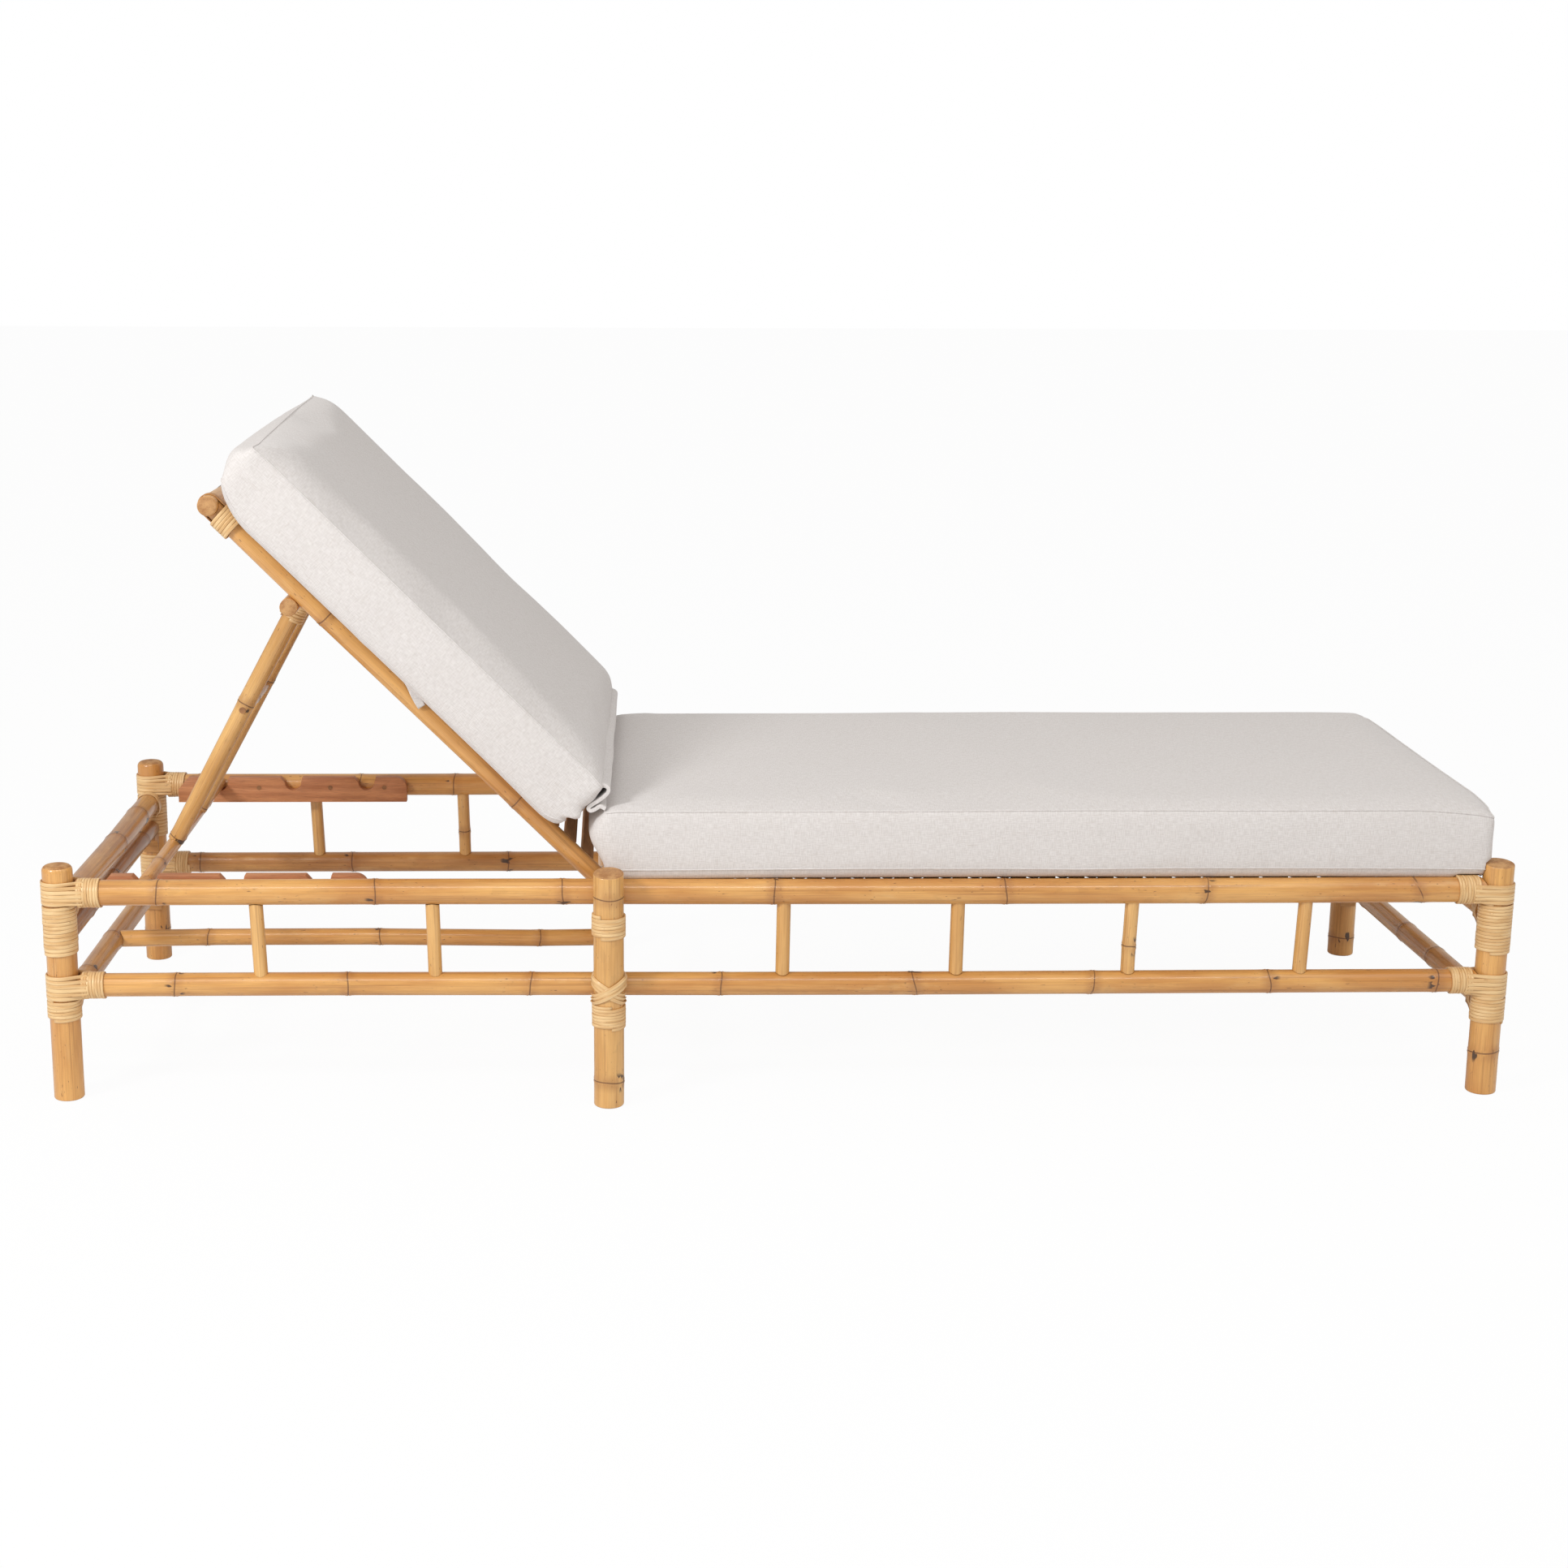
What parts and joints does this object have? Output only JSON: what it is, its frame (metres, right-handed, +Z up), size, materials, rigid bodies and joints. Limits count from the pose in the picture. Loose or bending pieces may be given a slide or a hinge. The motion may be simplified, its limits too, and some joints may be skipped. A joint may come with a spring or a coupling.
{
  "type": "sun lounger",
  "caption": "Bamboo pole sun lounger with a hinged reclining back, a folding prop that stands in notched racks, cane wrapped joints and loose boxed cushions.",
  "frame": {"origin": "on the floor, midway between the head and foot legs and midway between the two sides", "axes": "+X from the head end to the foot end, +Y to the left of a person lying on it, +Z up"},
  "size_m": [2.0028, 0.7742, 0.8802],
  "materials": {
    "bamboo_pole": "varnished, with darker node rings",
    "bamboo_strip": "shaved strip, varnished",
    "rattan_cane": "semi-gloss split cane",
    "rack_hardwood": "oiled reddish hardwood",
    "slat_wood": "dark stained, satin",
    "plug_wood": "sawn end grain, satin",
    "linen_cover": "plain weave with fine slubs, matt"
  },
  "bodies": {
    "frame": {"balusters_left": "bamboo_pole", "balusters_right": "bamboo_pole", "centre_stretcher": "bamboo_pole", "foot_lower_cross_pole": "bamboo_pole", "foot_saddles": "bamboo_strip", "foot_top_cross_pole": "bamboo_pole", "head_lower_cross_pole": "bamboo_pole", "head_saddles": "bamboo_strip", "head_second_cross_pole": "bamboo_pole", "head_top_cross_pole": "bamboo_pole", "hinge_pin_caps": "plug_wood", "hinge_pins": "plug_wood", "leg_foot_left": "bamboo_pole", "leg_foot_right": "bamboo_pole", "leg_head_left": "bamboo_pole", "leg_head_right": "bamboo_pole", "leg_middle_left": "bamboo_pole", "leg_middle_right": "bamboo_pole", "leg_wraps_foot_left": "rattan_cane", "leg_wraps_foot_right": "rattan_cane", "leg_wraps_head_left": "rattan_cane", "leg_wraps_head_right": "rattan_cane", "leg_wraps_middle_left": "rattan_cane", "leg_wraps_middle_right": "rattan_cane", "lower_rail_left": "bamboo_pole", "lower_rail_right": "bamboo_pole", "middle_lower_cross_pole": "bamboo_pole", "middle_saddles": "bamboo_strip", "middle_top_cross_pole": "bamboo_pole", "rack_left": "rack_hardwood", "rack_right": "rack_hardwood", "rack_screw_plugs": "plug_wood", "rail_collars_foot": "rattan_cane", "rail_collars_head": "rattan_cane", "seat_cushion": "linen_cover", "seat_ledge_left": "slat_wood", "seat_ledge_right": "slat_wood", "seat_slats": "slat_wood", "top_rail_left": "bamboo_pole", "top_rail_right": "bamboo_pole"},
    "back": {"back_rail_right": "bamboo_pole", "back_rail_left": "bamboo_pole", "head_crossbar": "bamboo_pole", "crossbar_straps": "bamboo_strip", "crossbar_collars": "rattan_cane", "back_ledge_right": "slat_wood", "back_ledge_left": "slat_wood", "back_slats": "slat_wood", "pivot_pole": "bamboo_pole", "pivot_pole_pegs": "plug_wood", "back_cushion": "linen_cover"},
    "prop": {"prop_pole_right": "bamboo_pole", "prop_pole_left": "bamboo_pole", "prop_spreader": "bamboo_pole", "prop_plugs": "plug_wood", "prop_straps": "bamboo_strip", "prop_bindings": "rattan_cane", "prop_foot_bar": "bamboo_pole"}
  },
  "joints": [
    {"name": "back_tilt", "type": "hinge", "parent": "frame", "child": "back", "pos_m": [-0.244, 0, 0.2905], "axis": [0, 1, 0], "range_deg": [0, 18]},
    {"name": "prop_swing", "type": "hinge", "parent": "back", "child": "prop", "pos_m": [-0.66133, 0, 0.6722], "axis": [0, -1, 0], "range_deg": [0, 4.5]}
  ],
  "couplings": [
    {"joint": "prop_swing", "follows": "back_tilt", "ratio": 0.25}
  ]
}
